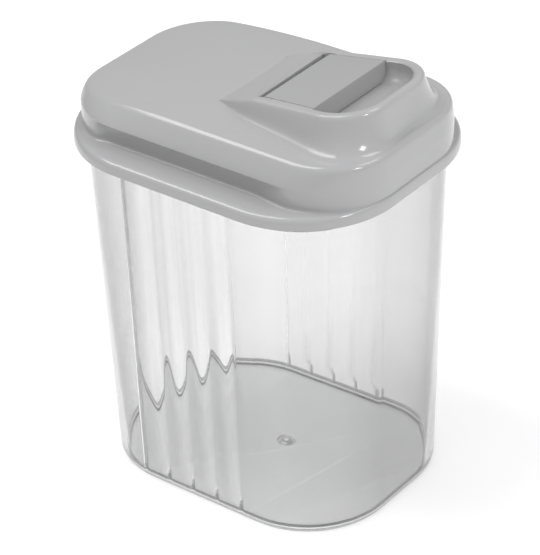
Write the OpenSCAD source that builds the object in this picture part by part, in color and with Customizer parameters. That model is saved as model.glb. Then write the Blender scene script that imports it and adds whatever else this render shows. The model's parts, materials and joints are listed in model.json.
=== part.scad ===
// Cereal container with a flip spout: a clear tapered container, a lid that
// lifts off it, and a flap that swings open on two trunnions over the spout.
// Millimetres, +Z up, origin at the middle of the base, spout towards -Y.

/* [Container] */
// Length of the base, front to back
body_l = 145; // [120:1:200]
// Width of the base
body_w = 113.4; // [100:0.2:160]
// Height of the container's rim above the base
body_h = 173.6; // [140:0.2:260]
// Radius of the upright corners
corner_r = 42; // [36:1:46]
// Draft of the walls, in degrees
draft = 1.4; // [0.5:0.1:3]
// Thickness of the walls
wall = 3; // [2.4:0.1:4]
// Thickness of the floor
floor_t = 3; // [2:0.1:5]
// Rounding of the edge between wall and base
foot_r = 4; // [2:0.5:8]
// Projection of the bead round the rim
bead = 2.9; // [0.8:0.1:3.2]
// Height of the bead round the rim
bead_h = 2.4; // [1.5:0.1:3]

/* [Reeded side panels] */
// Number of upright reeds on each long side
reed_count = 4; // [2:1:5]
// Spacing of the reeds
reed_pitch = 14.1; // [8:0.1:14.5]
// Depth of the grooves between the reeds
reed_depth = 1.1; // [0.4:0.1:1.6]
// Distance of the panel's middle behind the container's middle
reed_back = 6; // [0:0.5:8]

/* [Lid] */
// Thickness of the lid's shell
lid_t = 2; // [1.4:0.1:2.6]
// Thickness of the skirt round the container's rim
skirt_t = 2.7; // [1.6:0.1:3.2]
// Drop of the skirt below the container's rim
skirt_drop = 3.6; // [2.6:0.1:12]
// Drop of the plug wall inside the container's mouth
plug_drop = 9; // [5:0.5:16]
// Thickness of the plug wall
plug_t = 1.8; // [1.2:0.1:2.6]
// Height of the grip recesses, from ledge to lip
recess_h = 9; // [6:0.5:14]
// Depth of the grip recesses behind the lip
recess_d = 2.6; // [1:0.1:4]
// Length of the grip recesses
recess_l = 110; // [70:1:112]
// Radius of the upright ends of the grip recesses
recess_r = 6; // [3:0.5:12]
// Height of the lip's upright face
lip_h = 1.8; // [1:0.1:4]
// Distance of the lip inside the skirt on the long sides
lip_side = 12.4; // [10.4:0.1:13.4]
// Distance of the lip inside the skirt at the ends
lip_end = 1.1; // [0.8:0.1:4]
// Corner radius of the lip
lip_r = 36; // [30:1:42]
// Height of the slanted facet above the lip, at the middle of the long sides
facet_h = 9.2; // [7:0.1:12]
// Width of the slanted facet on the long sides
facet_side = 6.2; // [4:0.1:10.4]
// Width of the slanted facet at the ends
facet_end = 0.8; // [0.6:0.1:3]
// Corner radius of the deck's edge
edge_r = 28; // [24:1:36]
// Narrowing of the deck on each long side, from its middle to the back
taper = 3.9; // [0:0.1:5]
// Rise of the crowned deck above its edge
crown_h = 2.5; // [1:0.1:5]
// Drop of the deck's edge from the middle of the long sides to the back
drop_back = 6; // [0:0.1:7]
// Drop of the deck's edge from the middle of the long sides to the front
drop_front = 0; // [0:0.1:5]

/* [Spout] */
// Distance of the hinge in front of the lid's middle
hinge_y = 19.6; // [14:0.2:22]
// Height of the hinge above the deck's edge
hinge_rise = 8.5; // [8:0.1:16]
// Slope of the spout's top, in degrees
spout_tilt = 8; // [4:0.5:10]
// Slope of the ramp behind the hinge, in degrees
ramp_tilt = 22; // [16:1:32]
// Width inside the spout at the hinge
throat_rear_w = 48.7; // [40:0.1:52]
// Width inside the spout at the flap's front edge
throat_front_w = 53.3; // [44:0.1:56]
// Thickness of the spout's side rails
rail_t = 4.2; // [2.2:0.1:5]
// Thickness of the spout's front rim
rim_t = 3; // [2:0.1:4]
// Reach of the spout beyond the flap, to the inside of its rim
reach = 23; // [18:0.5:25]
// Corner radius inside the spout's front
nose_r = 17; // [12:0.5:21]
// Depth of the chute below the flap's top
chute_depth = 9; // [7:0.1:11]
// Outward flare of the spout's walls from top to bottom
flare = 4; // [1:0.5:6]
// Width of the ledges under the flap's sides
ledge_w = 1.2; // [0.8:0.1:2.4]
// Width of the guide rib inside the spout's front
rib_w = 1.6; // [1:0.1:3]

/* [Flap] */
// Length of the flap in front of its hinge
flap_l = 27.6; // [22:0.2:32]
// Thickness of the flap's plate
plate_t = 2.4; // [1.6:0.1:2.8]
// Radius of the hinge barrel
barrel_r = 2.6; // [2.2:0.1:3]
// Radius of the trunnions
pin_r = 1.5; // [1:0.1:1.8]
// Reach of the trunnions into the rails
pin_reach = 1.8; // [1:0.1:2]
// Thickness of the flap's skirts
flap_skirt_t = 1.6; // [1:0.1:2.2]
// Width of the groove behind the hinge barrel
groove_w = 2; // [1.6:0.1:3]

/* [Clearances] */
// Gap between the container's rim and the lid's ledge
seat_gap = 0.2; // [0.1:0.05:0.4]
// Gap between the rim's bead and the skirt, and round the plug wall
lid_gap = 0.3; // [0.2:0.05:0.8]
// Gap round the flap
flap_gap = 0.35; // [0.2:0.05:0.6]
// Radial clearance of the trunnions in their bores
pin_gap = 0.05; // [0.02:0.01:0.1]

/* [Hidden] */
$fn = 96;

// Overshoot of a cutting body past the face it cuts
over = 1;
// Thickness of the slices that a hull joins
slice = 0.01;

// Half length, half width and corner radius of the container at height z
function half_l(z) = body_l / 2 + z * tan(draft);
function half_w(z) = body_w / 2 + z * tan(draft);

// Container profile
corner_steps = 10;
reed_steps = 8;
flank_steps = 4;
foot_steps = 5;
reed_front = reed_back - reed_count * reed_pitch / 2;
reed_rear = reed_back + reed_count * reed_pitch / 2;
// Run of the smooth flank in front of the panel and of the sharp one behind it
front_flank = 7;
rear_flank = 1.5;
// Distance from the longer flank to the plain corner
side_margin = 0.4;
// Height over which the reeds fade in above the base
reed_fade = 6;
// Rounding of the rim's two edges
rim_round = 0.6;
// Height at which the wall turns out into the bead
bead_z = body_h - bead_h - bead / 2;

// Lid heights
skirt_z = body_h - skirt_drop;
seat_z = body_h + seat_gap;
ledge_z = seat_z + lid_t;
lip_z = ledge_z + recess_h;
facet_z = lip_z + lip_h;
deck_z = facet_z + facet_h;
plug_z = body_h - plug_drop;

// Lid outlines, as half length, half width and corner radius
rim_out = [half_l(body_h) + bead, half_w(body_h) + bead, corner_r + bead];
skirt_in = grown(rim_out, lid_gap);
skirt_out = grown(skirt_in, skirt_t);
mouth = [half_l(plug_z) - wall, half_w(plug_z) - wall, corner_r - wall];
plug_out = grown(mouth, -lid_gap);
plug_in = grown(plug_out, -plug_t);
lip = [skirt_out[0] - lip_end, skirt_out[1] - lip_side, lip_r];
edge = [lip[0] - facet_end, lip[1] - facet_side, edge_r];
// Rounding of the band's upper edge, on the long sides and at the ends
bevel = 2.4;
end_bevel = lip_end / 2;
recess_x = lip[1] - recess_d;
// Step between two storeys of the cavity, and thickness of the shell across the lip
step = 0.3;
lip_t = 1.25 * lid_t;
cavity_low = [plug_in[0], recess_x - lid_t, lip_r - lid_t];
cavity_mid = [lip[0] - lip_t - step, recess_x - lid_t, lip_r - lip_t - step];
// Height at which the cavity widens above the grip recesses
cavity_z = min(lip_z, deck_z - max(drop_back, drop_front) - 2 * lid_t - step) + lid_t;
lid_steps = 12;
bevel_steps = 3;
crown_steps = 5;
nose_steps = 10;

// Spout, in a frame on the hinge axis with the flap's top at spout_top
hinge_z = deck_z + hinge_rise;
spout_top = barrel_r;
rear_half = throat_rear_w / 2;
front_half = throat_front_w / 2;
splay = (front_half - rear_half) / flap_l;
// Width of the chute's floor behind the flap's front skirt
seat_w = 0.6;
seat_y = flap_l - flap_skirt_t - seat_w;
floor_z = spout_top - chute_depth - flap_gap;
nose_y = flap_l + reach;
// Thickness of the hinge trough's front wall
trough_t = 1.4;
trough_y = barrel_r + flap_gap + trough_t;
trough_z = -barrel_r - flap_gap - lid_t;
groove_y = barrel_r + groove_w;
// Half width of the room that the hinge barrel turns in
hinge_half = rear_half + flap_gap;
ledge_z_local = spout_top - plate_t - flap_gap;
// Height at which the block starts inside the lid
block_z = facet_z - lid_t;
// Distance behind the hinge at which the room under the ramp ends
ramp_foot = groove_y + (top_at(groove_y) - deck_z - crown_h) / tan(ramp_tilt);
// Length of the block behind the hinge, which ends inside the deck
block_back = ramp_foot + 6;
// Lean of the rim inwards above the flap
rim_lean = 0.7;

// Flap
flap_rear_half = rear_half - flap_gap;
// Depth of the side skirts at their two ends, and their distance from the trough
side_skirt_front = 6.4;
side_skirt_rear = 2.2;
side_skirt_gap = 1;

function grown(o, d) = [o[0] + d, o[1] + d, o[2] + d];

// Half width of an outline at distance y from its middle
function reach_at(o, y) = abs(y) <= o[0] - o[2] ? o[1]
    : o[1] - o[2] + sqrt(max(0, o[2] * o[2] - pow(abs(y) - o[0] + o[2], 2)));

// Depth of the reeded panel's surface at distance y from the middle
function reed_at(y) =
    y < reed_front ? reed_depth * pow(max(0, 1 - (reed_front - y) / front_flank), 2)
    : y > reed_rear ? reed_depth * max(0, 1 - (y - reed_rear) / rear_flank)
    : let (s = (y - reed_front) / reed_pitch, t = 2 * (s - floor(s)) - 1) reed_depth * t * t;

// Stations along a long side, from front to back
side_end = max(front_flank - reed_front, rear_flank + reed_rear) + side_margin;
side_stations = concat(
    [-side_end],
    [for (i = [flank_steps : -1 : 1]) reed_front - front_flank * i / flank_steps],
    [for (i = [0 : reed_count * reed_steps]) reed_front + i * reed_pitch / reed_steps],
    [reed_rear + rear_flank, side_end]
);

// Outline at one height: o is the outline, d the share of the reeds' depth
function side_points(o, d) = [for (y = side_stations) [reach_at(o, y) - d * reed_at(y), y]];
function corner_points(o, from_y) =
    let (a0 = asin(max(-1, min(1, (from_y - o[0] + o[2]) / o[2]))))
    [for (i = [1 : corner_steps])
        let (a = a0 + (90 - a0) * i / corner_steps)
        [o[1] - o[2] + o[2] * cos(a), o[0] - o[2] + o[2] * sin(a)]];
function flip_x(points) = [for (i = [len(points) - 1 : -1 : 0]) [-points[i][0], points[i][1]]];
function flip_y(points) = [for (i = [len(points) - 1 : -1 : 0]) [points[i][0], -points[i][1]]];
function outline(o, d) =
    let (side = side_points(o, d),
         back = corner_points(o, side_end),
         half = concat(flip_y(back), side, back))
    concat(half, flip_x(half));
function ring(o, d, z) = [for (p = outline(o, d)) [p[0], p[1], z]];

// Outline of the container's outside and inside at height z, set in by d
function shell_at(z, d) = [half_l(z) - d, half_w(z) - d, corner_r - d];
function reed_share(z) = min(1, max(0, (z - foot_r / 2) / reed_fade));
// Point i of n round the quarter of a circle that ends a wall: [set-in, height]
function quarter(r, i, n) = [r - r * sin(90 * i / n), r - r * cos(90 * i / n)];

container_rings = concat(
    [for (i = [0 : foot_steps])
        let (q = quarter(foot_r, i, foot_steps))
        ring(shell_at(q[1], q[0]), reed_share(q[1]), q[1])],
    [ring(shell_at(foot_r + reed_fade, 0), 1, foot_r + reed_fade)],
    [ring(shell_at(bead_z, 0), 1, bead_z)],
    [ring(shell_at(body_h - bead_h, -bead), 0, body_h - bead_h)],
    [ring(rim_out, 0, body_h - rim_round)],
    [ring(grown(rim_out, -rim_round), 0, body_h)],
    [ring(shell_at(body_h, wall - rim_round), 0, body_h)],
    [ring(shell_at(body_h, wall), 0, body_h - rim_round)],
    [for (i = [foot_steps : -1 : 0])
        let (q = quarter(foot_r, i, foot_steps), z = floor_t + q[1])
        ring(shell_at(z, wall + q[0]), 0, z)]
);

// Plain outline, without reeds
function plain(o, z) =
    let (r = o[2])
    [for (q = [[1, 1, 0], [-1, 1, 90], [-1, -1, 180], [1, -1, 270]], i = [0 : lid_steps])
        let (a = q[2] + 90 * i / lid_steps)
        [q[0] * (o[1] - r) + r * cos(a), q[1] * (o[0] - r) + r * sin(a), z]];
function scaled(o, t) = [o[0] * t, o[1] * t, o[2] * t];

// Band round the rim with its rounded upper edge: t runs from 0 to 1 over the rounding
function band_at(t) =
    [skirt_out[0] - end_bevel * (1 - cos(90 * t)), skirt_out[1] - bevel * (1 - cos(90 * t)),
     skirt_out[2] - bevel * (1 - cos(90 * t)) / 2];

lid_rings = concat(
    [plain(skirt_out, skirt_z)],
    [for (i = [0 : bevel_steps])
        let (t = i / bevel_steps)
        plain(band_at(t), ledge_z - bevel * (1 - sin(90 * t)))],
    [plain(lip, lip_z)],
    [plain(lip, facet_z)],
    deck_rings(edge, 0)
);

// Drop of the deck at distance y from its middle
function drop_at(y) = (y > 0 ? drop_back : drop_front) * pow(y / edge[0], 2);

// Share of the deck's width that is left at distance y from its middle
function width_at(y) = 1 - taper / edge[1] * max(0, y) / edge[0];

// Deck over an outline, from its edge up to its crown, lowered by d
function deck_rings(o, d) =
    [for (i = [0 : crown_steps - 1])
        let (t = 1 - i / crown_steps)
        [for (p = plain(scaled(o, t), deck_z + crown_h * (1 - t * t) - d))
            [p[0] * width_at(p[1]), p[1], p[2] - drop_at(p[1])]]];

cavity_rings = concat(
    [plain(grown(lip, -lip_t), cavity_z)],
    deck_rings(grown(edge, -lid_t / 2), lid_t)
);

// Closed solid through a list of rings, capped at its first and last ring
module loft(rings) {
    n = len(rings[0]);
    m = len(rings);
    points = [for (r = rings) each r];
    sides = [for (k = [0 : m - 2], i = [0 : n - 1])
        let (j = (i + 1) % n, a = k * n + i, b = k * n + j, c = a + n, d = b + n)
        each [[a, c, b], [b, c, d]]];
    first = [for (i = [0 : n - 1]) i];
    last = [for (i = [n - 1 : -1 : 0]) (m - 1) * n + i];
    polyhedron(points = points, faces = concat([first], sides, [last]), convexity = 6);
}

module slab(o, z0, z1) {
    translate([0, 0, z0])
        linear_extrude(height = z1 - z0)
            polygon([for (p = plain(o, 0)) [p[0], p[1]]]);
}

// Frame on the hinge axis, tilted with the spout's top, front towards -Y
module on_hinge() {
    translate([0, -hinge_y, hinge_z])
        rotate([-spout_tilt, 0, 0])
            children();
}

module across(r, w) {
    rotate([0, 90, 0])
        cylinder(r = r, h = w, center = true);
}

// Half width between the rails at distance y in front of the hinge
function between(y) = rear_half + splay * y;

// Plan between the rails from y0 to y1 in front of the hinge, set in by d
module throat_plan(y0, y1, d) {
    polygon([
        [between(y0) - d, -y0],
        [-between(y0) + d, -y0],
        [-between(y1) + d, -y1],
        [between(y1) - d, -y1]
    ]);
}

// Plan of the spout from behind the hinge to its nose, grown by side_d at the rails
// and by nose_d at the nose: the rails run straight into the arcs about nose_c
lean = atan(splay);
nose_c = [between(nose_y - nose_r * (1 + sin(lean))) - nose_r * cos(lean), nose_y - nose_r];
module nose_plan(side_d, nose_d) {
    cx = nose_c[0] + (side_d - nose_d) / cos(lean);
    half = concat(
        [[between(-block_back) + side_d / cos(lean), block_back]],
        [for (i = [0 : nose_steps])
            let (a = (90 + lean) * i / nose_steps - lean)
            [cx + (nose_r + nose_d) * cos(a), -nose_c[1] - (nose_r + nose_d) * sin(a)]]
    );
    polygon(concat(half, flip_x(half)));
}

// Side view drawn across the lid, as distances behind the hinge and heights
module side_view(points) {
    rotate([90, 0, 90])
        translate([0, 0, -body_w / 2])
            linear_extrude(height = body_w)
                polygon(points);
}

// Height of the spout's top, and of the ramp behind it, at distance y behind the hinge
function top_at(y) = hinge_z + spout_top / cos(spout_tilt) - y * tan(spout_tilt);
function ramp_at(y) = top_at(groove_y) - (y - groove_y) * tan(ramp_tilt);
// Height of the chute's floor at distance y behind the hinge
function chute_at(y) = hinge_z + floor_z / cos(spout_tilt) - y * tan(spout_tilt);

module block() {
    front = nose_y + rim_t + flare + over;
    translate([0, -hinge_y, 0])
        intersection() {
            hull() {
                translate([0, 0, facet_z])
                    linear_extrude(height = slice)
                        nose_plan(rail_t + flare, rim_t + flare);
                translate([0, 0, top_at(-front)])
                    linear_extrude(height = slice)
                        nose_plan(rail_t - rim_lean, rim_t - rim_lean);
            }
            side_view([
                [block_back, block_z],
                [block_back, ramp_at(block_back)],
                [groove_y, top_at(groove_y)],
                [-front, top_at(-front)],
                [-front, block_z]
            ]);
        }
}

module container() {
    color([0.86, 0.88, 0.89, 0.4])
        loft(container_rings);
}

module lid_body() {
    loft(lid_rings);
    block();
}

module grip_recesses() {
    cut = [recess_l / 2, recess_r + skirt_out[1] - recess_x, recess_r];
    for (sx = [-1, 1])
        translate([sx * (recess_x + cut[1]), 0, 0])
            slab(cut, ledge_z, lip_z);
}

module lid_cavity() {
    slab(skirt_in, skirt_z - over, seat_z);
    slab(cavity_low, seat_z - over, ledge_z + over);
    slab(cavity_mid, ledge_z, cavity_z + step);
    loft(cavity_rings);
}

// Room under the spout's ramp, its hinge trough and its chute
module spout_cavity() {
    inset = ledge_w / 2;
    roof_drop = lid_t / cos(ramp_tilt);
    rear = groove_y + lid_t;
    translate([0, -hinge_y, 0])
        intersection() {
            translate([0, 0, block_z])
                linear_extrude(height = body_w)
                    nose_plan(-inset, -inset);
            side_view([
                [ramp_foot, block_z],
                [ramp_foot, ramp_at(ramp_foot) - roof_drop],
                [rear, ramp_at(rear) - roof_drop],
                [rear, hinge_z + trough_z],
                [-trough_y, hinge_z + trough_z],
                [-seat_y, chute_at(-seat_y) - lid_t],
                [-nose_y, chute_at(-nose_y) - lid_t],
                [-nose_y, block_z]
            ]);
        }
}

// Openings seen from above: flap pocket and chute, throat, and hinge groove
module spout_openings() {
    ledge_end = seat_y - ledge_w;
    on_hinge() {
        intersection() {
            translate([0, 0, floor_z - over])
                linear_extrude(height = body_w)
                    nose_plan(0, 0);
            side_view([
                [0, ledge_z_local],
                [-ledge_end, ledge_z_local],
                [-ledge_end, floor_z],
                [-nose_y - over, floor_z],
                [-nose_y - over, chute_depth],
                [0, chute_depth]
            ]);
        }
        translate([0, 0, floor_z - lid_t - chute_depth])
            linear_extrude(height = 2 * chute_depth)
                throat_plan(trough_y, seat_y, ledge_w);
        across(barrel_r + flap_gap, 2 * hinge_half);
        translate([-hinge_half, 0, -barrel_r / 2])
            cube([2 * hinge_half, groove_y, chute_depth]);
        across(pin_r + pin_gap, 2 * (rear_half + pin_reach + flap_gap));
    }
}

module plug() {
    difference() {
        slab(plug_out, plug_z, seat_z + slice);
        slab(plug_in, plug_z - over, seat_z + over);
    }
}

module guide_rib() {
    root = rim_t / 2;
    on_hinge()
        translate([-rib_w / 2, -nose_y - root, floor_z - slice])
            cube([rib_w, rib_w + root, chute_depth / 2]);
}

module lid() {
    color([0.72, 0.72, 0.73]) {
        difference() {
            lid_body();
            grip_recesses();
            lid_cavity();
            spout_cavity();
            spout_openings();
        }
        plug();
        guide_rib();
    }
}

module side_skirt() {
    top = spout_top - plate_t;
    front = seat_y - flap_gap;
    rear = trough_y + side_skirt_gap;
    rotate([90, 0, 90])
        linear_extrude(height = flap_skirt_t)
            polygon([
                [-rear, top + slice],
                [-rear, top - side_skirt_rear],
                [-front, top - side_skirt_front],
                [-front, top + slice]
            ]);
}

module flap() {
    color([0.7, 0.7, 0.71])
        on_hinge() {
            across(barrel_r, 2 * flap_rear_half);
            across(pin_r, 2 * (rear_half + pin_reach));
            translate([0, 0, spout_top - plate_t])
                linear_extrude(height = plate_t)
                    throat_plan(0, flap_l, flap_gap);
            translate([0, 0, spout_top - chute_depth])
                linear_extrude(height = chute_depth)
                    throat_plan(flap_l - flap_skirt_t, flap_l, flap_gap);
            for (sx = [0, 1])
                mirror([sx, 0, 0])
                    translate([between(0) - ledge_w - flap_gap - flap_skirt_t, 0, 0])
                        side_skirt();
        }
}

container();
lid();
flap();
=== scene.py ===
# %% [markdown]
# # A cereal container with a flip spout
# The object has three mouldings: a clear tapered container with upright reeds in
# its long sides, a grey lid that drops over the rim, and a small grey flap that
# turns on two trunnions between the rails of the lid's spout.
# The solid model gives their sizes, their places and their joints. Here each of
# them gets its real surface: rounded edges, flowing fillets and moulded plastic.

# %% Load the frame
import json
import math

import bmesh
import bpy
import numpy
from mathutils import Matrix, Vector

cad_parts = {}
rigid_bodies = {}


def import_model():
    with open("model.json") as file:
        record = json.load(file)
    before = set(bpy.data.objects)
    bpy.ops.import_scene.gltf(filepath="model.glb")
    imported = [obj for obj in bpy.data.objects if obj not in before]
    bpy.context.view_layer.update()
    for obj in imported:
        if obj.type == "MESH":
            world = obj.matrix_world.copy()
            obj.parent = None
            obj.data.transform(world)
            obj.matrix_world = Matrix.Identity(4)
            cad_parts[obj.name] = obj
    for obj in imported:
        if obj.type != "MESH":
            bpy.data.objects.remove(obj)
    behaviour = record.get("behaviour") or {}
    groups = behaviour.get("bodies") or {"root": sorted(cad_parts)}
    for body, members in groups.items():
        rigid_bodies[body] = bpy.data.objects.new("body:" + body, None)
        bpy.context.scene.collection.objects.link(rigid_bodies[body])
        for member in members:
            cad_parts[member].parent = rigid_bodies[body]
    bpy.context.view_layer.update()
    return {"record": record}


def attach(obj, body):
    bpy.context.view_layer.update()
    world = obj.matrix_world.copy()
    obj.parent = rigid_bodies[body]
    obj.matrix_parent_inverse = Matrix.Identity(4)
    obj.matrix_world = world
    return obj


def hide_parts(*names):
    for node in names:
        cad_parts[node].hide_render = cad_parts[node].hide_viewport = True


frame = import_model()

# %% [markdown]
# ## Working units and helpers
# Mouldings are drawn in millimetres, so each bmesh is built in millimetres and
# scaled once at the end. Almost every surface here is a stack of closed outlines.
# It could be lofted by hand from a list of faces, but an extruded edge loop keeps
# the faces in order by itself: one helper lays a circle of vertices on an outline,
# and a second one extrudes that ring and lays the new vertices on the next outline.

# %% Lay rings of vertices
MM = 0.001


def first_ring(bm, points):
    made = bmesh.ops.create_circle(bm, cap_ends=False, segments=len(points), radius=1.0)
    ring = made["verts"]
    for vertex, point in zip(ring, points):
        vertex.co = point
    return ring


def next_ring(bm, ring, points):
    count = len(ring)
    edges = [bm.edges.get((ring[i], ring[(i + 1) % count])) for i in range(count)]
    made = bmesh.ops.extrude_edge_only(bm, edges=edges)
    fresh = {item for item in made["geom"] if isinstance(item, bmesh.types.BMVert)}
    following = []
    for vertex in ring:
        following.append(next(e.other_vert(vertex) for e in vertex.link_edges
                              if e.other_vert(vertex) in fresh))
    for vertex, point in zip(following, points):
        vertex.co = point
    return following


def cap(bm, ring):
    edges = [bm.edges.get((ring[i - 1], ring[i])) for i in range(len(ring))]
    bmesh.ops.edgeloop_fill(bm, edges=edges)


def stack(bm, rings):
    loops = [first_ring(bm, rings[0])]
    for points in rings[1:]:
        loops.append(next_ring(bm, loops[-1], points))
    return loops


def closed_stack(rings):
    bm = bmesh.new()
    loops = stack(bm, rings)
    cap(bm, loops[0])
    cap(bm, loops[-1])
    return bm


# %% [markdown]
# A quarter of a circle rounds every edge. At each angle it has left one of the two
# faces by a share that grows from nought to one, and has yet to reach the other by
# a share that shrinks from one to nought.

# %% Steps round a quarter of a circle
def quarter_turn(angles):
    return [(1 - math.cos(a), 1 - math.sin(a)) for a in map(math.radians, angles)]


# %% [markdown]
# A finished bmesh is cleaned, turned so that its faces point outwards, scaled to
# metres and made an object at the origin. Faces that meet at a low angle are shaded
# as one smooth surface, and steeper edges stay sharp. A count of the edges that
# don't join exactly two faces shows whether a body is closed.

# %% Finish a piece and count its open edges
MERGE_GAP = 0.002
TINY_EDGE = 0.001
SHARP_ANGLE = 32.0


def to_object(bm, name, sharp=SHARP_ANGLE):
    bmesh.ops.remove_doubles(bm, verts=bm.verts, dist=MERGE_GAP)
    bmesh.ops.dissolve_degenerate(bm, dist=TINY_EDGE, edges=bm.edges)
    bmesh.ops.recalc_face_normals(bm, faces=bm.faces)
    bmesh.ops.scale(bm, vec=(MM, MM, MM), verts=bm.verts)
    mesh = bpy.data.meshes.new(name)
    bm.to_mesh(mesh)
    bm.free()
    mesh.shade_smooth()
    mesh.set_sharp_from_angle(angle=math.radians(sharp))
    piece = bpy.data.objects.new(name, mesh)
    bpy.context.scene.collection.objects.link(piece)
    return piece


def open_edges(piece):
    bm = bmesh.new()
    bm.from_mesh(piece.data)
    count = sum(1 for edge in bm.edges if len(edge.link_faces) != 2)
    bm.free()
    return count


# %% [markdown]
# Hollows with flat floors and straight walls are cut with solids, as a mould's
# cores cut them. The Boolean modifier does the cut, and its result is kept as the
# piece's own mesh, so that later steps see plain geometry.

# %% Cut or join solids
def combine(piece, other, operation):
    modifier = piece.modifiers.new(operation.title(), "BOOLEAN")
    modifier.operation = operation
    modifier.solver = "MANIFOLD"
    modifier.object = other
    graph = bpy.context.evaluated_depsgraph_get()
    result = bpy.data.meshes.new_from_object(piece.evaluated_get(graph))
    piece.modifiers.clear()
    old = piece.data
    piece.data = result
    bpy.data.meshes.remove(old)
    bpy.data.objects.remove(other)
    result.shade_smooth()
    result.set_sharp_from_angle(angle=math.radians(SHARP_ANGLE))


# %% [markdown]
# ## The sizes that the pieces share
# The hinge comes from the joint itself. The other numbers are the ones that the
# solid model was drawn with. An outline is kept as its half length, half width and
# corner radius.

# %% Sizes of the container and the lid, in millimetres
joints = {joint["name"]: joint for joint in frame["record"]["behaviour"]["joints"]}
hinge_y, hinge_z = (value / MM for value in joints["flap_hinge"]["pos_m"][1:])

rim_z = 173.6                        # top of the container's rim
draft = math.tan(math.radians(1.4))  # the walls lean out, so the mould lets go
base = (72.5, 56.7, 42.0)            # outline of the walls at the table
wall = 3.0
floor_t = 3.0

band = (82.64, 66.84, 47.9)          # the lid's widest outline, round the rim
band_low_z = 170.0
ledge_z = 175.8                      # top of the band, where fingers rest
lip = (81.54, 54.44, 36.0)           # lower edge of the leaning face
lip_z = 184.8
edge = (80.74, 48.24, 28.0)          # outline of the deck
edge_z = 196.0
crown = 2.3                          # how far the deck's middle stands up
drop_back = 6.0                      # how far the deck has dropped at its back
taper = 3.9                          # and how much narrower it is there
print("hinge axis at y", round(hinge_y, 2), "z", round(hinge_z, 2))

# %% [markdown]
# The spout is drawn in a frame of its own, which sits on the hinge axis and leans
# forward by eight degrees. Heights in that frame are measured from the axis, and
# lengths run from the axis to the nose. The rails spread a little on the way.

# %% Sizes of the spout and the flap, in millimetres
spout_tilt = math.radians(8)
ramp_slope = math.tan(math.radians(22))
spout_top = 2.6                      # top of the rails and the flap
groove_back = 4.6                    # back of the thumb's groove
rail_t = 4.6                         # thickness of the rails
rim_t = 3.2                          # and of the rim round the nose
nose_r = 17.0
nose_reach = 50.6
flap_l = 27.6
plate_t = 2.4
skirt_h = 9
skirt_t = 1.6
half_at_hinge = 24.35                # half the room between the rails
half_at_front = 26.65                # and the same at the flap's front
splay = (half_at_front - half_at_hinge) / flap_l
lean = math.atan(splay)
flap_gap = 0.35                      # play round the flap
ledge_w = 1.2                        # ledge that the flap's edges rest on
print("the rails spread by", round(math.degrees(lean), 2), "degrees each")


def grown(shape, amount):
    return tuple(value + amount for value in shape)


def widened(shape, height):
    return (shape[0] + height * draft, shape[1] + height * draft, shape[2])


# %% [markdown]
# ## Outlines
# A rounded rectangle is followed from the middle of its right side to the middle
# of its back, and mirrored for the other three quarters. Each outline of the lid
# has the same number of points in its sides, corners and ends, so that any two
# outlines can be joined by a smooth skin. A corner's first degrees get the most
# points, because that is where a straight side starts to turn.

# %% Outline of a rounded rectangle
SIDE = 26
END = 10
FINE_TURN, FINE_STEPS, COARSE_STEPS = 16, 14, 28
CORNER = [FINE_TURN * i / FINE_STEPS for i in range(1, FINE_STEPS + 1)]
CORNER += [FINE_TURN + (90 - FINE_TURN) * i / COARSE_STEPS for i in range(1, COARSE_STEPS + 1)]


def quarter(shape):
    length, width, radius = shape
    points = [(width, (length - radius) * i / SIDE) for i in range(SIDE + 1)]
    for angle in CORNER:
        a = math.radians(angle)
        points.append((width - radius + radius * math.cos(a),
                       length - radius + radius * math.sin(a)))
    for i in range(1, END + 1):
        points.append(((width - radius) * (1 - i / END), length))
    return points


def around(back, front):
    left_back = [(-x, y) for x, y in reversed(back[:-1])]
    left_front = [(-x, -y) for x, y in front[1:]]
    right_front = [(x, -y) for x, y in reversed(front[1:-1])]
    return back + left_back + left_front + right_front


def outline(shape):
    points = quarter(shape)
    return around(points, points)


def raised(points, height):
    if callable(height):
        return [Vector((x, y, height(x, y))) for x, y in points]
    return [Vector((x, y, height)) for x, y in points]


print("points in each outline of the lid:", len(outline(lip)))

# %% [markdown]
# ## The lid's top surface
# The deck is a shallow crown: highest in the middle, and lower and a little
# narrower towards the back. It could be a subdivided patch that is pulled up by
# hand, but the spout's foot has to end level with it. So it is a rule: the height
# at a point follows from how far out the point is between the middle and the
# deck's edge, as a share of its ray.

# %% Height of the crowned deck
NARROWING = 1.2


def share_of_edge(x, y):
    length, width, radius = edge
    x, y = abs(x), abs(y)
    straight_x, straight_y = width - radius, length - radius
    share = max(x / width, y / length)
    if x <= straight_x * share or y <= straight_y * share:
        if (x / width >= y / length and y <= straight_y * x / width) or (
                y / length > x / width and x <= straight_x * y / length):
            return share
    a = straight_x ** 2 + straight_y ** 2 - radius ** 2
    b = straight_x * x + straight_y * y
    return (b - math.sqrt(max(0.0, b * b - a * (x * x + y * y)))) / a


def edge_height(y):
    return edge_z - drop_back * (max(0.0, y) / edge[0]) ** 2


def width_at(y):
    return 1 - taper / edge[1] * (max(0.0, y) / edge[0]) ** NARROWING


def deck_height(x, y):
    return edge_height(y) + crown * (1 - share_of_edge(x / width_at(y), y) ** 2)


print("deck in the middle:", round(deck_height(0, 0), 2),
      "at the back edge:", round(deck_height(0, edge[0]), 2))

# %% [markdown]
# The spout stands on the deck as a block with a sloping top. In front of the hinge
# the top rises gently towards the nose; behind the groove a ramp falls to the deck
# and meets it in a thin crease. Seen from above, the block has two straight rails
# that spread a little, a round nose, and the crease as its back. The crease is
# where ramp and deck are equally high, and halving a span forty times finds it.

# %% Top and plan of the spout block
def top_height(y):
    ahead = hinge_y - y
    flat = hinge_z + spout_top / math.cos(spout_tilt) + ahead * math.tan(spout_tilt)
    if ahead >= -groove_back:
        return flat
    crest = hinge_z + spout_top / math.cos(spout_tilt) - groove_back * math.tan(spout_tilt)
    return crest + (ahead + groove_back) * ramp_slope


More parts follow.
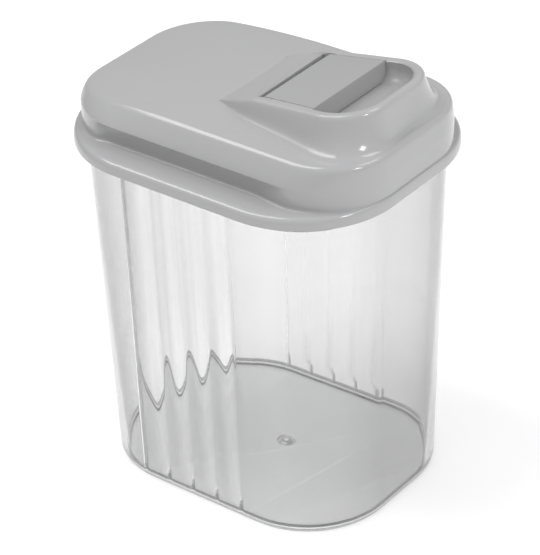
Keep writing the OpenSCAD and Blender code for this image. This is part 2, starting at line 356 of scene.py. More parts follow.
def crease_y(x):
    low, high = hinge_y + groove_back, 40.0
    for _ in range(40):
        middle = (low + high) / 2
        if top_height(middle) > deck_height(x, middle):
            low = middle
        else:
            high = middle
    return low


def rail_x(ahead, side):
    return half_at_hinge + splay * ahead + side / math.cos(lean)


def nose_arc(side, front, steps):
    radius = nose_r + front
    middle_x = rail_x(nose_reach - nose_r * (1 + math.sin(lean)), 0)
    middle_x += (side - front) / math.cos(lean) - nose_r * math.cos(lean)
    middle_y = nose_reach - nose_r
    points = []
    for i in range(steps + 1):
        a = -lean + (math.pi / 2 + lean) * i / steps
        points.append((middle_x + radius * math.cos(a), middle_y + radius * math.sin(a)))
    return points


print("crease behind the ramp at y", round(crease_y(0), 2))

# %% [markdown]
# ## From the spout to the deck's edge
# The rails have full, rounded tops, steep flanks and a foot that fades into the
# deck. Beveling a block on a plate would give a fillet of one radius, and the real
# foot is wide at the nose and tight at the rails. So the skin starts on a ring
# round the block's top, and each column of points runs out from that ring to the
# deck's edge. The height at a point depends on its distance from the ring: first a
# rounding, then a curve that starts steep and ends level with the deck.

# %% Height beside the spout block
RAIL_ROUND = 2.5
RAIL_STEEP, NOSE_STEEP = 4.5, 3.0
FADE = 3
turn = math.atan(RAIL_STEEP)


def flank_height(distance, top, deck, room, steep):
    rise = top - deck
    if rise < 0.02:
        return deck
    rounding = min(RAIL_ROUND, 0.4 * rise)
    over_edge = rounding * math.sin(turn)
    if distance <= over_edge:
        return top - rounding + math.sqrt(rounding ** 2 - distance ** 2)
    fall = rise - rounding * (1 - math.cos(turn))
    spread = max(0.5, min(FADE * fall / steep, room))
    left_over = max(0.0, 1 - (distance - over_edge) / spread)
    return deck + fall * left_over ** FADE


# %% Ring round the block's top
inset = RAIL_ROUND * math.tan(turn / 2)
rail_side = rail_t - inset
nose_front = rim_t - inset
ARC = len(CORNER)
arc = nose_arc(rail_side, nose_front, ARC)


def block_outline():
    reach = arc[0][1] - hinge_y
    steps = [reach * i / SIDE for i in range(SIDE + 1)]
    crest = groove_back - hinge_y
    nearest = min(range(SIDE + 1), key=lambda i: abs(steps[i] - crest))
    steps[nearest] = crest
    front = [(rail_x(hinge_y + step, rail_side), step) for step in steps]
    front += [(x, ahead - hinge_y) for x, ahead in arc[1:]]
    front += [(arc[-1][0] * (1 - i / END), arc[-1][1] - hinge_y) for i in range(1, END + 1)]
    half = rail_x(hinge_y, rail_side)
    for _ in range(20):
        half = rail_x(hinge_y - crease_y(half), rail_side)
    far = crease_y(half)
    back = [(rail_x(hinge_y - far * i / SIDE, rail_side), far * i / SIDE)
            for i in range(SIDE + 1)]
    count = ARC + END
    back += [(half * (1 - i / count), crease_y(half * (1 - i / count)))
             for i in range(1, count + 1)]
    return around(back, front), nearest


block, crest_step = block_outline()
print("points round the block:", len(block))

# %% [markdown]
# ## The lid's outer skin, from the spout outwards
# Each column starts on the ring round the block's top and ends just inside the
# deck's edge. Steps are short near the block, where the surface turns fast, and
# grow towards the edge. Behind the ramp a fine crease is pressed into the deck.

# %% Heights beside the block
EDGE_ROUND = 3.2
NOSE_STARTS, NOSE_BLEND = 20, 25
CREASE_AT, CREASE_HALF, CREASE_DEPTH = 0.45, 0.4, 0.25
near = numpy.array(block)
after = numpy.roll(near, -1, axis=0)
near_top = numpy.array([top_height(y) for _, y in block])
after_top = numpy.roll(near_top, -1)
crease_half = max(x for x, y in block if y > 1) + 0.5


def nearest_on_block(x, y):
    along = after - near
    offset = numpy.array([x, y]) - near
    share = (offset * along).sum(1) / (along ** 2).sum(1)
    share = numpy.clip(share, 0, 1)
    gap = offset - along * share[:, None]
    distance = numpy.hypot(gap[:, 0], gap[:, 1])
    k = int(distance.argmin())
    top = near_top[k] + share[k] * (after_top[k] - near_top[k])
    return float(distance[k]), float(top), near[k][1]


def beside_block(x, y, room):
    distance, top, foot_y = nearest_on_block(x, y)
    along_nose = min(1.0, max(0.0, (hinge_y - foot_y - NOSE_STARTS) / NOSE_BLEND))
    steep = RAIL_STEEP + (NOSE_STEEP - RAIL_STEEP) * along_nose
    height = flank_height(distance, top, deck_height(x, y), room, steep)
    if y > block[0][1] and abs(x) < crease_half and distance < 1:
        height -= CREASE_DEPTH * max(0.0, 1 - abs(distance - CREASE_AT) / CREASE_HALF)
    return height


# %% Rings over the flanks and the deck
DECK_STEPS = 26
CLOSE, CLOSE_SHARE = 4.0, 0.35


def deck_ring(step):
    points = []
    for start, end in zip(block, deck_edge):
        start, end = Vector(start), Vector(end)
        length = (end - start).length
        power = max(1.0, math.log(CLOSE / length) / math.log(CLOSE_SHARE))
        reach = (length - EDGE_ROUND) * (step / DECK_STEPS) ** power
        x, y = start + (end - start) * reach / length
        points.append(Vector((x, y, beside_block(x, y, length - EDGE_ROUND - RAIL_ROUND))))
    return points


deck_edge = [(x * width_at(y), y) for x, y in outline(edge)]
rings = [raised(block, lambda x, y: top_height(y))]
rings += [deck_ring(step) for step in range(1, DECK_STEPS + 1)]
print("rings from the block to the deck's edge:", len(rings))

# %% [markdown]
# Outside the deck's edge a face leans outwards down to the lip. On the real lid
# it is slightly full, so it is drawn as a curve from the edge to the lip with its
# middle pulled outwards. The edge is rounded by a second curve that ends where the
# first one has run for half the rounding's width.

# %% Rings round the edge and down to the lip
LIP_ROUND = 0.9
SHOULDER_OUT, SHOULDER_UP = 0.86, 0.32
EDGE_STEPS, FACE_STEPS = 5, 8


def curve(a, b, c, t):
    return a * (1 - t) ** 2 + b * 2 * t * (1 - t) + c * t ** 2


crest_line = [Vector((x, y, edge_height(y))) for x, y in deck_edge]
lip_line = raised(outline(lip), lip_z + LIP_ROUND)
shoulder_line = [Vector((c.x + (d.x - c.x) * SHOULDER_OUT, c.y + (d.y - c.y) * SHOULDER_OUT,
                         d.z + (c.z - d.z) * SHOULDER_UP)) for c, d in zip(crest_line, lip_line)]
inner = rings[-1]
starts = [EDGE_ROUND / (2 * (s - c).length) for c, s in zip(crest_line, shoulder_line)]
for k in range(1, EDGE_STEPS + 1):
    rings.append([curve(a, c, curve(c, s, d, t), k / EDGE_STEPS)
                  for a, c, s, d, t in zip(inner, crest_line, shoulder_line, lip_line, starts)])
for k in range(1, FACE_STEPS + 1):
    rings.append([curve(c, s, d, t + (1 - t) * k / FACE_STEPS)
                  for c, s, d, t in zip(crest_line, shoulder_line, lip_line, starts)])
print("rings down to the lip:", len(rings))

# %% [markdown]
# Under the lip, a grip recess runs along each long side. Its wall lies behind the
# lip and meets the ledge in a small cove. Towards the back it turns out over a few
# millimetres, and towards the front it fades out over three times as much. Cutting
# it with a box would leave hard ends, so the skin's own rings step in and out.

# %% Rings through the grip recess to the ledge
RECESS = 2.6
RECESS_HALF = 56.0
RECESS_TURN_BACK, RECESS_TURN_FRONT = 8.0, 26.0
ONLY_SIDES = 30
COVE = 1.4
BAND_TOP = 3.4
BAND_END = 0.55


def recess_depth(x, y):
    if abs(x) < ONLY_SIDES:
        return 0.0
    turn_length = RECESS_TURN_BACK if y > 0 else RECESS_TURN_FRONT
    t = min(1.0, max(0.0, (RECESS_HALF - abs(y)) / turn_length))
    return RECESS * t * t * (3 - 2 * t)


def toward(a, b, amount):
    a, b = Vector(a), Vector(b)
    gap = (b - a).length
    return a + (b - a) * (min(amount, 0.4 * gap) / gap) if gap > 1e-6 else a


def lip_ring(amount, height):
    return [Vector((*toward(p, q, amount), height)) for p, q in zip(lip_plan, wall_plan)]


lip_plan = outline(lip)
wall_plan = [(x - math.copysign(recess_depth(x, y), x), y) for x, y in lip_plan]
band_top = outline((band[0] - BAND_END, band[1] - BAND_TOP, band[2] - BAND_TOP / 2))
for grows, shrinks in quarter_turn((30, 60, 90)):
    rings.append(lip_ring(LIP_ROUND * grows, lip_z + LIP_ROUND * shrinks))
rings.append(raised(wall_plan, lip_z))
cove = [min(COVE, 0.35 * (Vector(b) - Vector(w)).length) for w, b in zip(wall_plan, band_top)]
for grows, shrinks in quarter_turn(range(0, 91, 15)):
    rings.append([Vector((*toward(w, b, c * grows), ledge_z + c * shrinks))
                  for w, b, c in zip(wall_plan, band_top, cove)])
print("rings down to the ledge:", len(rings))

# %% [markdown]
# The band round the rim has a full rounding along its top, wide at the sides and
# tight at the ends, and a small rounding along its bottom.

# %% Rings round the band
BAND_LOW = 0.6
for grows, shrinks in quarter_turn(range(90, -1, -15)):
    shape = (band[0] - BAND_END * grows, band[1] - BAND_TOP * grows,
             band[2] - BAND_TOP * grows / 2)
    rings.append(raised(outline(shape), ledge_z - BAND_TOP * shrinks))
for grows, shrinks in quarter_turn((0, 30, 60, 90)):
    rings.append(raised(outline(grown(band, -BAND_LOW * grows)),
                        band_low_z + BAND_LOW * shrinks))
print("rings down to the band's lower edge:", len(rings))

# %% [markdown]
# Inside the band the skin goes on up to the seat that rests over the container's
# rim, down the plug wall that closes the mouth, and up again into the hollow under
# the deck. The roof of that hollow follows the deck, one wall thickness lower.

# %% Rings of the seat, the plug and the hollow
SKIRT_WALL = 2.7
PLUG_DEEP, PLUG_WALL, PLUG_GAP = 9, 1.8, 0.3
ROOF = 2
skirt_in = grown(band, -SKIRT_WALL)
seat_z = rim_z + 0.2
plug_z = rim_z - PLUG_DEEP
plug_out = grown(widened(base, plug_z), -wall - PLUG_GAP)
plug_in = grown(plug_out, -PLUG_WALL)
hollow = (plug_in[0], lip[1] - RECESS - ROOF, 34.0)
roof_foot = grown(lip, -2.5)
roof_side = (roof_foot[0] - 0.3, hollow[1], 33.2)
roof_z = lip_z + ROOF
for shape, height in ((grown(skirt_in, 0.5), band_low_z), (skirt_in, band_low_z + 0.5),
                      (skirt_in, seat_z), (plug_out, seat_z), (plug_out, plug_z + 0.5),
                      (grown(plug_out, -0.5), plug_z), (grown(plug_in, 0.3), plug_z),
                      (plug_in, plug_z + 0.3), (plug_in, seat_z), (hollow, seat_z),
                      (hollow, ledge_z + 0.6), (roof_side, ledge_z + 1.2),
                      (roof_side, roof_z - 0.4), (roof_foot, roof_z)):
    rings.append(raised(outline(shape), height))
for share in (1, 0.9, 0.75, 0.6, 0.45, 0.3, 0.15):
    shape = tuple(value * share for value in grown(edge, -1.0))
    narrowed = [(x * width_at(y), y) for x, y in outline(shape)]
    rings.append(raised(narrowed, lambda x, y: deck_height(x, y) - ROOF))
print("rings in the lid's skin:", len(rings))

# %% [markdown]
# The ring round the block's top is closed with two flat faces that meet in the
# crest of the ramp, and the last ring is closed under the deck. An inset of both
# faces keeps the rounding beside them from shading over the flats. That makes one
# closed body, still without the hollows of the spout.

# %% Build the lid's body
FLAT_RIM = 1.3
bm = bmesh.new()
loops = stack(bm, rings)
top_ring = loops[0]
count = len(top_ring)
left, right = count // 2 + crest_step, count - crest_step
crest_edge = bm.edges.new((top_ring[left], top_ring[right]))
front_part = [bm.edges.get((top_ring[i], top_ring[i + 1])) for i in range(left, right)]
back_part = [bm.edges.get((top_ring[i - 1], top_ring[i % count]))
             for i in list(range(right + 1, count + 1)) + list(range(1, left + 1))]
front_top = bmesh.ops.edgeloop_fill(bm, edges=front_part + [crest_edge])["faces"]
back_top = bmesh.ops.edgeloop_fill(bm, edges=back_part + [crest_edge])["faces"]
bmesh.ops.inset_individual(bm, faces=front_top + back_top, thickness=FLAT_RIM,
                           use_even_offset=True)
cap(bm, loops[-1])
lid = to_object(bm, "lid_moulding")
print("lid's body:", len(lid.data.polygons), "faces,", open_edges(lid), "open edges")

# %% [markdown]
# ## The hollows of the spout
# From above, the spout is a pocket that the flap lies in and, in front of it, a
# chute with a rounded floor that turns up to the nose. Both follow the rails and
# the nose. As more rings of the skin they would cross its columns, so they are cut
# out of the closed body. The cutters are drawn in the leaning frame on the hinge
# axis. Each level of a cutter has an offset from the pocket's wall and a height, so
# a cutter that widens at its top rounds the edge it cuts. In front of the flap a
# third, shallow cutter eases the rim into a pouring lip.

# %% Cutters for the pocket, the pouring lip and the chute
on_hinge = (Matrix.Translation((0, hinge_y, hinge_z))
            @ Matrix.Rotation(-spout_tilt, 4, "X"))
RIM_ROUND = 0.4
FLOOR_TURN = 6.0
ABOVE = spout_top + 4
UNDER_SIDES = 0.003
chute_z = spout_top - skirt_h - flap_gap
ledge_top = spout_top - plate_t - flap_gap
seat_y = flap_l - skirt_t - 0.6


def placed(bm, name):
    bmesh.ops.transform(bm, matrix=on_hinge, verts=bm.verts)
    return to_object(bm, name)


def inside_spout(offset, start):
    half = [(rail_x(start, offset), start)] + nose_arc(offset, offset, 24)
    points = half + [(-x, ahead) for x, ahead in reversed(half)]
    return [(x, -ahead) for x, ahead in points]


def cut_spout(name, levels, start):
    cutter = closed_stack([raised(inside_spout(offset, start), z) for offset, z in levels])
    combine(lid, placed(cutter, name), "DIFFERENCE")


pocket = [(0, ledge_top), (0, spout_top - RIM_ROUND)]
pocket += [(RIM_ROUND * grows, spout_top - RIM_ROUND * shrinks)
           for grows, shrinks in quarter_turn(range(15, 91, 15))]
cut_spout("pocket_cut", pocket + [(RIM_ROUND, ABOVE)], 0.0)
pouring_lip = [(0, spout_top - 0.7), (0.4, spout_top - 0.38), (0.9, spout_top - 0.15),
               (1.4, spout_top - 0.04), (1.8, spout_top + 0.01), (1.8, ABOVE)]
cut_spout("pouring_lip_cut", pouring_lip, flap_l + 0.3)
chute = [(-FLOOR_TURN * shrinks - UNDER_SIDES, chute_z + FLOOR_TURN * grows)
         for grows, shrinks in quarter_turn(range(0, 91, 9))]
cut_spout("chute_cut", chute + [(-UNDER_SIDES, 1.0)], seat_y - ledge_w)
print("after pocket and chute:", len(lid.data.polygons), "faces,", open_edges(lid), "open")

# %% [markdown]
# Under the flap the throat goes straight down into the lid. Behind it lie the
# round room of the hinge barrel, the groove that a thumb's nail finds, and the
# two blind bores of the trunnions. Boxes and rods are all it takes.

# %% Boxes and rods
def block_between(low_corner, high_corner):
    bm = bmesh.new()
    bmesh.ops.create_cube(bm, size=1.0)
    size = Vector(high_corner) - Vector(low_corner)
    bmesh.ops.scale(bm, vec=size, verts=bm.verts)
    bmesh.ops.translate(bm, vec=(Vector(low_corner) + Vector(high_corner)) / 2, verts=bm.verts)
    return bm


def splayed(bm, offset):
    for vertex in bm.verts:
        vertex.co.x = math.copysign(rail_x(-vertex.co.y, offset), vertex.co.x)


def rod(radius, length, segments=64):
    bm = bmesh.new()
    bmesh.ops.create_cone(bm, cap_ends=True, segments=segments, radius1=radius,
                          radius2=radius, depth=length)
    bmesh.ops.rotate(bm, matrix=Matrix.Rotation(math.pi / 2, 3, "Y"), verts=bm.verts)
    return bm


def eased(bm, edges, offset, segments):
    bmesh.ops.bevel(bm, geom=edges, offset=offset, segments=segments, profile=0.5,
                    affect="EDGES", material=-1)


# %% Cut the throat, the barrel's room, the groove and the bores
BARREL_R = 2.6
TRUNNION_R, TRUNNION_PLAY, TRUNNION_L = 1.5, 0.05, 1.8
trough_front = BARREL_R + flap_gap + 1.4
room = half_at_hinge + flap_gap
throat = block_between((-1, -seat_y, -18), (1, -trough_front, 0.2))
splayed(throat, -ledge_w * math.cos(lean))
groove = block_between((-room + 0.001, -0.3, -2.5), (room - 0.001, groove_back + 0.7, 8))
barrel_room = rod(BARREL_R + flap_gap, 2 * room)
bores = rod(TRUNNION_R + TRUNNION_PLAY, 2 * (half_at_hinge + TRUNNION_L + flap_gap), 48)
for cutter, name in ((throat, "throat_cut"), (barrel_room, "barrel_cut"),
                     (groove, "groove_cut"), (bores, "bore_cut")):
    combine(lid, placed(cutter, name), "DIFFERENCE")
print("after the hinge's hollows:", open_edges(lid), "open edges")

# %% [markdown]
# Seen from below, the block is hollow too. Its core is a prism with the spout's
# outline. Cut across where the roof bends, its top is lifted to a roof that keeps
# one wall thickness under the ramp, the hinge trough and the chute's floor.

# %% Height of the core's roof
trough_z = hinge_z - BARREL_R - flap_gap - ROOF
behind = hinge_y + groove_back + 2
ramp_foot = hinge_y + groove_back + (top_height(hinge_y + groove_back)
                                     - deck_height(0, 5)) / ramp_slope
roof_drop = ROOF / math.cos(math.atan(ramp_slope))


def chute_roof(y):
    return (hinge_z + chute_z / math.cos(spout_tilt) - ROOF
            + (hinge_y - y) * math.tan(spout_tilt))


roof_stations = [(ramp_foot, top_height(ramp_foot) - roof_drop),
                 (behind + 0.05, top_height(behind) - roof_drop),
                 (behind, trough_z),
                 (hinge_y - trough_front, trough_z),
                 (hinge_y - seat_y, chute_roof(hinge_y - seat_y)),
                 (hinge_y - nose_reach, chute_roof(hinge_y - nose_reach))]


def roof_at(y):
    for (y0, z0), (y1, z1) in zip(roof_stations, roof_stations[1:]):
        if y0 >= y >= y1:
            return z0 + (z1 - z0) * (y - y0) / (y1 - y0)
    return roof_stations[0][1] if y > ramp_foot else roof_stations[-1][1]


print("the core's roof over the hinge trough is at z", round(trough_z, 2))

# %% Core out the block from below
CORE_GAP = 0.6
CORE_TOP = 230.0
core = [(x, y + hinge_y) for x, y in inside_spout(-CORE_GAP, hinge_y - ramp_foot)]
bm = closed_stack([raised(core, lip_z - 0.2), raised(core, CORE_TOP)])
for y, _ in roof_stations[1:-1]:
    bmesh.ops.bisect_plane(bm, geom=bm.verts[:] + bm.edges[:] + bm.faces[:], dist=0.0001,
                           plane_co=(0, y, 0), plane_no=(0, 1, 0))
for vertex in bm.verts:
    if vertex.co.z > CORE_TOP - 1:
        vertex.co.z = roof_at(vertex.co.y)
bmesh.ops.triangulate(bm, faces=bm.faces)
combine(lid, to_object(bm, "core_cut"), "DIFFERENCE")
print("after the core:", open_edges(lid), "open edges")

# %% [markdown]
# A low rib stands at the front of the chute, where it guides the stream.

# %% Add the guide rib
EASE = 0.3
rib = block_between((-0.8, -nose_reach - 1.5, chute_z - 0.3),
                    (0.8, -nose_reach + 1.6, chute_z + 4.5))
eased(rib, rib.edges, EASE, 2)
combine(lid, placed(rib, "guide_rib"), "UNION")
print("lid:", len(lid.data.polygons), "faces,", open_edges(lid), "open edges")

# %% [markdown]
# ## The flap
# The flap is a thin plate that spreads with the rails. A deep skirt closes its
# front, two low skirts stiffen its sides, and its back is a barrel with a short
# trunnion at each end. Each part is a simple solid with eased edges, and a union
# makes them one moulding.

# %% Plate, barrel and trunnions
flap_half = half_at_hinge - flap_gap
plate = block_between((-1, -flap_l, spout_top - plate_t), (1, 0, spout_top))
splayed(plate, -flap_gap * math.cos(lean))
top_edges = [e for e in plate.edges
             if all(v.co.z > spout_top - 0.01 for v in e.verts)
             and any(v.co.y < -1 for v in e.verts)]
eased(plate, top_edges, 0.35, 3)
flap = placed(plate, "flap_moulding")
barrel = rod(BARREL_R, 2 * flap_half)
rims = [e for e in barrel.edges if abs(e.verts[0].co.x - e.verts[1].co.x) < 0.01]
eased(barrel, rims, EASE, 2)
combine(flap, placed(barrel, "barrel"), "UNION")
trunnions = rod(TRUNNION_R, 2 * (half_at_hinge + TRUNNION_L), 48)
combine(flap, placed(trunnions, "trunnions"), "UNION")
print("plate, barrel and trunnions:", open_edges(flap), "open edges")

# %% Front and side skirts
SIDE_SKIRT_HALF = 0.8
SIDE_SKIRT_LOW, SIDE_SKIRT_DEEP = 2.2, 6.4
skirt = block_between((-1, -flap_l + 0.002, spout_top - skirt_h),
                      (1, -flap_l + skirt_t, spout_top - 0.8))
splayed(skirt, -flap_gap * math.cos(lean) - 0.002)
combine(flap, placed(skirt, "front_skirt"), "UNION")
skirt_x = half_at_hinge - ledge_w - flap_gap - SIDE_SKIRT_HALF
for side in (-1, 1):
    rail = block_between((-SIDE_SKIRT_HALF, -seat_y + flap_gap, -8),
                         (SIDE_SKIRT_HALF, -trough_front - 1, 1))
    for vertex in rail.verts:
        if vertex.co.z < 0:
            shallow = vertex.co.y > -seat_y / 2
            vertex.co.z = spout_top - plate_t - (SIDE_SKIRT_LOW if shallow else SIDE_SKIRT_DEEP)
    bmesh.ops.translate(rail, vec=(side * skirt_x, 0, 0), verts=rail.verts)
    combine(flap, placed(rail, "side_skirt"), "UNION")
print("flap:", len(flap.data.polygons), "faces,", open_edges(flap), "open edges")

# %% [markdown]
# ## The clear container
# Its walls lean out a little and carry four full reeds on each long side, with a
# sharp groove behind the last one. Between the reeds lie soft valleys, and at the
# foot the valleys narrow to fine notches. The outline is followed as before, with
# more points along the reeds and most of them round the valleys.

# %% Depth of the grooves between the reeds
REEDS = 4
PITCH = 14.1
GROOVE = 1.1
REEDS_BACK = 6.0
FRONT_FLANK, REAR_FLANK = 7.0, 1.5
reed_front = REEDS_BACK - REEDS * PITCH / 2
reed_rear = REEDS_BACK + REEDS * PITCH / 2
side_end = max(reed_rear + REAR_FLANK, FRONT_FLANK - reed_front) + 0.4


def groove_at(y, sharp):
    if y < reed_front:
        close = max(0.0, 1 - (reed_front - y) / FRONT_FLANK)
        return GROOVE * ((1 - sharp) * close ** 2 + sharp * close ** 8)
    if y > reed_rear:
        return GROOVE * max(0.0, 1 - (y - reed_rear) / REAR_FLANK)
    share = (y - reed_front) / PITCH
    t = 2 * (share - math.floor(share)) - 1
    soft = (1 - math.cos(math.pi * t)) / 2
    if share > REEDS - 0.5:
        soft = t * t
    return GROOVE * ((1 - sharp) * soft + sharp * abs(t) ** 12)


print("grooves on each long side:", REEDS + 1, "each", GROOVE, "mm deep")

# %% Outline with reeds
REED_STEPS = 12
WALL_CORNER = 24
stations = [-side_end] + [reed_front - FRONT_FLANK * i / 8 for i in range(8, 0, -1)]
stations += [reed_front + PITCH * (i + step) / REED_STEPS for i in range(REED_STEPS * REEDS)
             for step in ((0, 0.5) if i % REED_STEPS in (0, REED_STEPS - 1) else (0,))]
stations += [reed_rear + REAR_FLANK * i / 3 for i in range(4)] + [side_end]


def wall_outline(shape, depth, sharp=0.0):
    length, width, radius = shape

    def reach(y):
        past = max(0.0, abs(y) - length + radius)
        return width - radius + math.sqrt(max(0.0, radius ** 2 - past ** 2))

    side = [(reach(y) - depth * groove_at(y, sharp), y) for y in stations]
    start = math.asin(max(-1.0, min(1.0, (side_end - length + radius) / radius)))
    corner = []
    for i in range(1, WALL_CORNER + 1):
        a = start + (math.pi / 2 - start) * i / WALL_CORNER
        corner.append((width - radius + radius * math.cos(a),
                       length - radius + radius * math.sin(a)))
    half = [(x, -y) for x, y in reversed(corner)] + side + corner
    return half + [(-x, y) for x, y in reversed(half)]


print("points in the container's outline:", len(wall_outline(base, 1)))

# %% [markdown]
# The skin starts under the base, goes up the outside, over the rim and its bead,
# and down the smooth inside to the floor. The wall is one size thick at the rim
# and thinner below it, because a clear wall shows the floor's edge through itself
# and a thick one would push that edge inwards. It could be a Solidify modifier on
# the outer skin, but then the inside would repeat the reeds.

# %% Rings of the container's outside, bead and inside
FOOT_ROUND, INNER_ROUND, RIM_EDGE = 4.0, 2.0, 0.6
THIN = 2.0
BEAD, BEAD_H = 2.9, 2.4
SHARP_TO, SHARP_FADE = 14, 6
REED_FROM, REED_FADE = 2, 6
bead_z = rim_z - BEAD_H - BEAD / 2


def reed_share(z):
    return min(1.0, max(0.0, (z - REED_FROM) / REED_FADE))


def shell_ring(z, d, depth):
    length, width, radius = widened(base, z)
    sharp = min(1.0, max(0.0, (SHARP_TO - z) / SHARP_FADE))
    return raised(wall_outline((length - d, width - d, radius - d), depth, sharp), z)


eighths = [90 * i / 8 for i in range(9)]
rings = []
for grows, shrinks in quarter_turn(eighths):
    z = FOOT_ROUND * grows
    rings.append(shell_ring(z, FOOT_ROUND * shrinks, reed_share(z)))
for z in (5, 6, 7, 8, 10, 12, 14, bead_z - 4, bead_z):
    rings.append(shell_ring(z, 0, 1))
for out_share, z in ((0.5, bead_z + 0.35), (0.85, bead_z + 0.9), (1, bead_z + BEAD / 2)):
    rings.append(shell_ring(z, -BEAD * out_share, 1 - out_share))
for grows, shrinks in quarter_turn((0, 30, 60, 90)):
    rings.append(shell_ring(rim_z - RIM_EDGE * shrinks, -BEAD + RIM_EDGE * grows, 0))
for grows, shrinks in quarter_turn((0, 30, 60, 90)):
    rings.append(shell_ring(rim_z - RIM_EDGE * grows, wall - RIM_EDGE * shrinks, 0))
rings.append(shell_ring(rim_z - 4, wall, 0))
rings.append(shell_ring(rim_z - 12, THIN, 0))
for grows, shrinks in reversed(quarter_turn(eighths)):
    rings.append(shell_ring(floor_t + INNER_ROUND * grows, THIN + INNER_ROUND * shrinks, 0))
print("rings in the container's wall:", len(rings))

# %% [markdown]
# The floor ends in the small ringed nub that the mould's gate leaves near its
# middle. Its rings are rounds about a point, laid on the floor ring's own columns.

# %% Gate mark and mesh
CONTAINER_SHARP = 40.0
gate = Vector((1.7, -4.4))
floor_ring = rings[-1]


def gate_ring(radius, z):
    points = []
    for point in floor_ring:
        away = (Vector(point[:2]) - gate).normalized() * radius
        points.append(Vector((*(gate + away), z)))
    return points


for radius, z in ((9, 3.0), (4.8, 3.0), (4.1, 2.4), (3.0, 2.2), (1.9, 3.2), (0.8, 3.8)):
    rings.append(gate_ring(radius, z))
container = to_object(closed_stack(rings), "clear_container", CONTAINER_SHARP)
print("container:", len(container.data.polygons), "faces,", open_edges(container), "open")

# %% [markdown]
# ## Materials
# A material is a tree of nodes, and most of its lines would only set sockets and
# draw links. One helper takes both: a socket that is given to an input is linked,
# and any other value is set on it.

# %% Add nodes, and set or link their inputs
def set_inputs(tree, node, inputs):
    for name, value in inputs.items():
        if isinstance(value, bpy.types.NodeSocket):
            tree.links.new(value, node.inputs[name])
        else:
            node.inputs[name].default_value = value


def add_node(tree, kind, settings=None, inputs=None):
    node = tree.nodes.new(kind)
    for name, value in (settings or {}).items():
        setattr(node, name, value)
    set_inputs(tree, node, inputs or {})
    return node


def maths(tree, operation, *values):
    node = add_node(tree, "ShaderNodeMath", {"operation": operation}, dict(enumerate(values)))
    return node.outputs["Value"]


def map_range(tree, value, start, end, low=0.0, high=1.0, kind="LINEAR"):
    node = add_node(tree, "ShaderNodeMapRange", {"interpolation_type": kind},
                    {"Value": value, "From Min": start, "From Max": end,
                     "To Min": low, "To Max": high})
    return node.outputs["Result"]


def object_place(tree):
    return add_node(tree, "ShaderNodeTexCoord").outputs["Object"]


def new_group(name, inputs, outputs):
    group = bpy.data.node_groups.new(name, "ShaderNodeTree")
    for in_out, sockets in (("INPUT", inputs), ("OUTPUT", outputs)):
        for socket, kind in sockets.items():
            group.interface.new_socket(socket, in_out=in_out, socket_type="NodeSocket" + kind)
    return group


# %% [markdown]
# The lid and the flap are the same semi-gloss grey. Moulded plastic is never quite
# even: its gloss wanders and its surface carries a faint skin. Both materials take
# these from one node group, so a change in it changes both.

# %% Node group of a moulded surface
def moulded_group():
    group = new_group("moulded_surface",
                      {"Colour": "Color", "Gloss": "Float", "Grain": "Float"},
                      {"Colour": "Color", "Roughness": "Float", "Normal": "Vector"})
    given = add_node(group, "NodeGroupInput").outputs
    place = object_place(group)
    cloud = add_node(group, "ShaderNodeTexNoise",
                     inputs={"Vector": place, "Scale": 22.0, "Detail": 3.0}).outputs["Fac"]
    skin = add_node(group, "ShaderNodeTexNoise",
                    inputs={"Vector": place, "Scale": 900.0, "Detail": 2.0}).outputs["Fac"]
    tone = map_range(group, cloud, 0, 1, 0.975, 1.025)
    colour = add_node(group, "ShaderNodeVectorMath", {"operation": "SCALE"},
                      {0: given["Colour"], "Scale": tone})
    gloss = maths(group, "ADD", given["Gloss"], map_range(group, cloud, 0, 1, -0.03, 0.03))
    bump = add_node(group, "ShaderNodeBump",
                    inputs={"Distance": 0.00002, "Strength": given["Grain"], "Height": skin})
    add_node(group, "NodeGroupOutput",
             inputs={"Colour": colour.outputs["Vector"], "Roughness": gloss,
                     "Normal": bump.outputs["Normal"]})
    return group


surface = moulded_group()
print("inputs of the moulded surface:", [item.name for item in surface.interface.items_tree
                                         if item.in_out == "INPUT"])


def moulded(name, colour, gloss):
    material = bpy.data.materials.new(name)
    material.use_nodes = True
    tree = material.node_tree
    skin = add_node(tree, "ShaderNodeGroup", {"node_tree": surface},
                    {"Colour": (*colour, 1), "Gloss": gloss, "Grain": 0.25})
    set_inputs(tree, tree.nodes["Principled BSDF"],
               {"Base Color": skin.outputs["Colour"], "Roughness": skin.outputs["Roughness"],
                "Normal": skin.outputs["Normal"]})
    return material, skin


# %% [markdown]
# On the real lid, highlights run sharp along the deck's edge and soft on the
# spout's flanks, as on a moulding whose tool is polished on the deck and blasted
# round the spout. Two materials would meet in a line. A mask that is one round the
# spout and fades to nought over some centimetres has no such line, and says where
# the surface is satin.

# %% Where the lid is satin
SATIN_ACROSS = (0.048, 0.036)
SATIN_ALONG = (-0.072, -0.038)


def satin_group():
    group = new_group("satin_round_the_spout", {}, {"Mask": "Float"})
    where = add_node(group, "ShaderNodeSeparateXYZ", inputs={"Vector": object_place(group)})
    across = maths(group, "ABSOLUTE", where.outputs["X"])
    mask = maths(group, "MULTIPLY", map_range(group, across, *SATIN_ACROSS, kind="SMOOTHSTEP"),
                 map_range(group, where.outputs["Y"], *SATIN_ALONG, kind="SMOOTHSTEP"))
    add_node(group, "NodeGroupOutput", inputs={"Mask": mask})
    return group


